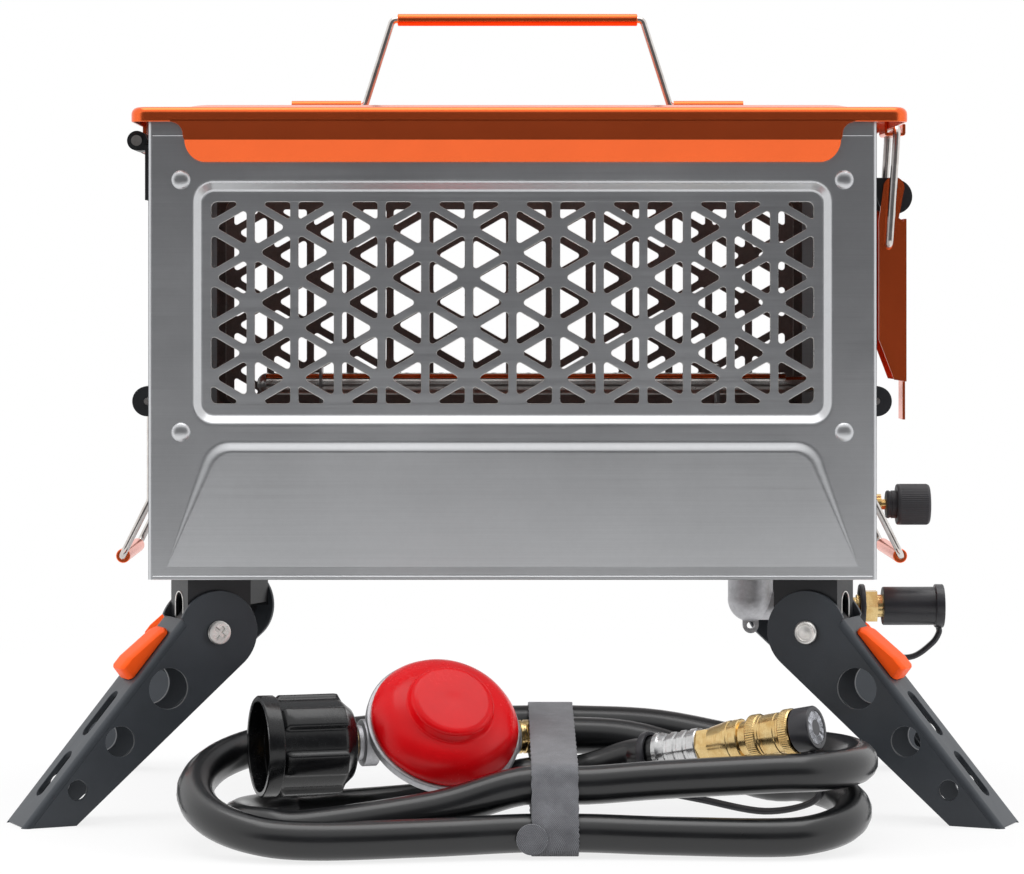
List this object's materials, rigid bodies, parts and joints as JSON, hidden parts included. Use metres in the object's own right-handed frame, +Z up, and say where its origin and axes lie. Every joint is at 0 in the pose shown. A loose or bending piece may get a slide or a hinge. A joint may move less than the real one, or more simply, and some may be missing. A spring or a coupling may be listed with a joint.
{
  "type": "portable fire pit",
  "caption": "Portable propane fire pit: boxy steel fire box with lattice windows, latched hinged lid, folding legs, carry handles and a coiled gas hose with regulator.",
  "frame": {"origin": "on the ground under the middle of the fire box", "axes": "+X to the right along the width, +Y away from the front lattice panel, +Z up"},
  "size_m": [0.5542, 0.4025, 0.4491],
  "materials": {
    "steel": "satin stainless sheet",
    "firebox": "dull sheet steel",
    "burner": "polished steel tube",
    "brass": "machined brass",
    "zinc": "die-cast zinc",
    "black_metal": "black powder coat",
    "bright_wire": "bright plated wire",
    "orange": "orange powder coat",
    "charcoal": "charcoal powder coat",
    "black_plastic": "black moulded plastic",
    "black_rubber": "black rubber",
    "red_cover": "red gloss paint",
    "strap": "woven strap"
  },
  "bodies": {
    "body": {"front_panel": "steel", "rear_panel": "steel", "left_wall": "steel", "right_wall": "steel", "rim_frame": "steel", "panel_rivets": "steel", "floor_pan": "firebox", "heat_shield": "firebox", "burner_brackets": "firebox", "burner_tube": "burner", "feed_pipe": "burner", "gas_valve": "brass", "supply_pipe": "brass", "gas_pipe": "brass", "gas_inlet": "brass", "valve_stem": "brass", "gas_manifold": "zinc", "floor_screws": "zinc", "hinge_leaf": "black_metal", "latch_bracket": "black_metal", "handle_saddles": "black_metal", "leg_brackets": "black_metal", "hinge_pin": "bright_wire", "latch_pin": "bright_wire", "leg_bolts": "bright_wire"},
    "lid": {"lid": "orange", "handle_clips": "orange"},
    "lid_handle": {"handle_wire": "bright_wire", "handle_grip": "orange"},
    "latch_lever": {"latch_lever": "orange"},
    "latch_bail": {"latch_bail": "bright_wire"},
    "left_handle": {"left_handle_wire": "bright_wire", "left_handle_grip": "orange"},
    "right_handle": {"right_handle_wire": "bright_wire", "right_handle_grip": "orange"},
    "knob": {"valve_knob": "black_plastic"},
    "inlet_cap": {"inlet_cap": "black_rubber", "cap_tether": "black_rubber"},
    "hose_set": {"hose": "black_rubber", "hose_strap": "strap", "hose_outlet": "brass", "hose_ferrule": "zinc", "regulator_base": "zinc", "regulator_cover": "red_cover", "qcc_nipple": "brass", "coupler_body": "brass", "plug_tether": "black_rubber"},
    "nut": {"qcc_nut": "black_plastic"},
    "sleeve": {"coupler_sleeve": "brass"},
    "plug": {"coupler_plug": "black_rubber"},
    "leg_front_left": {"leg_front_left": "charcoal"},
    "button_front_left": {"button_front_left": "orange"},
    "leg_front_right": {"leg_front_right": "charcoal"},
    "button_front_right": {"button_front_right": "orange"},
    "leg_rear_left": {"leg_rear_left": "charcoal"},
    "button_rear_left": {"button_rear_left": "orange"},
    "leg_rear_right": {"leg_rear_right": "charcoal"},
    "button_rear_right": {"button_rear_right": "orange"}
  },
  "joints": [
    {"name": "lid_hinge", "type": "hinge", "parent": "body", "child": "lid", "pos_m": [-0.2085, 0, 0.373], "axis": [0, -1, 0], "range_deg": [0, 105]},
    {"name": "lid_handle_fold", "type": "hinge", "parent": "lid", "child": "lid_handle", "pos_m": [0.00375, 0, 0.3956], "axis": [1, 0, 0], "range_deg": [-85, 85]},
    {"name": "latch_swing", "type": "hinge", "parent": "body", "child": "latch_lever", "pos_m": [0.2188, 0, 0.3487], "axis": [0, -1, 0], "range_deg": [0, 100]},
    {"name": "bail_swing", "type": "hinge", "parent": "latch_lever", "child": "latch_bail", "pos_m": [0.2156, 0, 0.3151], "axis": [0, -1, 0], "range_deg": [-58, 0]},
    {"name": "right_handle_swing", "type": "hinge", "parent": "body", "child": "right_handle", "pos_m": [0.2032, 0, 0.228], "axis": [0, -1, 0], "range_deg": [0, 80]},
    {"name": "left_handle_swing", "type": "hinge", "parent": "body", "child": "left_handle", "pos_m": [-0.2032, 0, 0.228], "axis": [0, 1, 0], "range_deg": [0, 80]},
    {"name": "knob_turn", "type": "hinge", "parent": "body", "child": "knob", "pos_m": [0.222, 0, 0.1665], "axis": [1, 0, 0], "range_deg": [0, 270]},
    {"name": "cap_pull", "type": "slide", "parent": "body", "child": "inlet_cap", "axis": [1, 0, 0], "range_m": [0, 0.012]},
    {"name": "leg_front_left_fold", "type": "hinge", "parent": "body", "child": "leg_front_left", "pos_m": [-0.1685, -0.079, 0.1015], "axis": [0.4226, -0.9063, 0], "range_deg": [0, 128]},
    {"name": "button_front_left_slide", "type": "slide", "parent": "leg_front_left", "child": "button_front_left", "axis": [-0.5826, -0.2717, -0.766], "range_m": [0, 0.006], "stiffness_N_per_m": 300, "springref_m": -0.002},
    {"name": "leg_front_right_fold", "type": "hinge", "parent": "body", "child": "leg_front_right", "pos_m": [0.1685, -0.079, 0.1015], "axis": [0.4226, 0.9063, 0], "range_deg": [0, 128]},
    {"name": "button_front_right_slide", "type": "slide", "parent": "leg_front_right", "child": "button_front_right", "axis": [0.5826, -0.2717, -0.766], "range_m": [0, 0.006], "stiffness_N_per_m": 300, "springref_m": -0.002},
    {"name": "leg_rear_left_fold", "type": "hinge", "parent": "body", "child": "leg_rear_left", "pos_m": [-0.1685, 0.079, 0.1015], "axis": [-0.4226, -0.9063, 0], "range_deg": [0, 128]},
    {"name": "button_rear_left_slide", "type": "slide", "parent": "leg_rear_left", "child": "button_rear_left", "axis": [-0.5826, 0.2717, -0.766], "range_m": [0, 0.006], "stiffness_N_per_m": 300, "springref_m": -0.002},
    {"name": "leg_rear_right_fold", "type": "hinge", "parent": "body", "child": "leg_rear_right", "pos_m": [0.1685, 0.079, 0.1015], "axis": [-0.4226, 0.9063, 0], "range_deg": [0, 128]},
    {"name": "button_rear_right_slide", "type": "slide", "parent": "leg_rear_right", "child": "button_rear_right", "axis": [0.5826, 0.2717, -0.766], "range_m": [0, 0.006], "stiffness_N_per_m": 300, "springref_m": -0.002},
    {"name": "hose_lift_out", "type": "slide", "parent": "body", "child": "hose_set", "axis": [0, -1, 0], "range_m": [0, 0.1]},
    {"name": "nut_spin", "type": "hinge", "parent": "hose_set", "child": "nut", "pos_m": [-0.04, -0.15, 0.0494], "axis": [0.9563, 0.2924, 0], "continuous": true},
    {"name": "sleeve_slide", "type": "slide", "parent": "hose_set", "child": "sleeve", "axis": [-0.8411, 0.4994, -0.2079], "range_m": [0, 0.005], "stiffness_N_per_m": 300, "springref_m": -0.002},
    {"name": "plug_pull", "type": "slide", "parent": "hose_set", "child": "plug", "axis": [0.8411, -0.4994, 0.2079], "range_m": [0, 0.012]}
  ],
  "couplings": [
    {"joint": "bail_swing", "follows": "latch_swing", "ratio": -0.56}
  ]
}
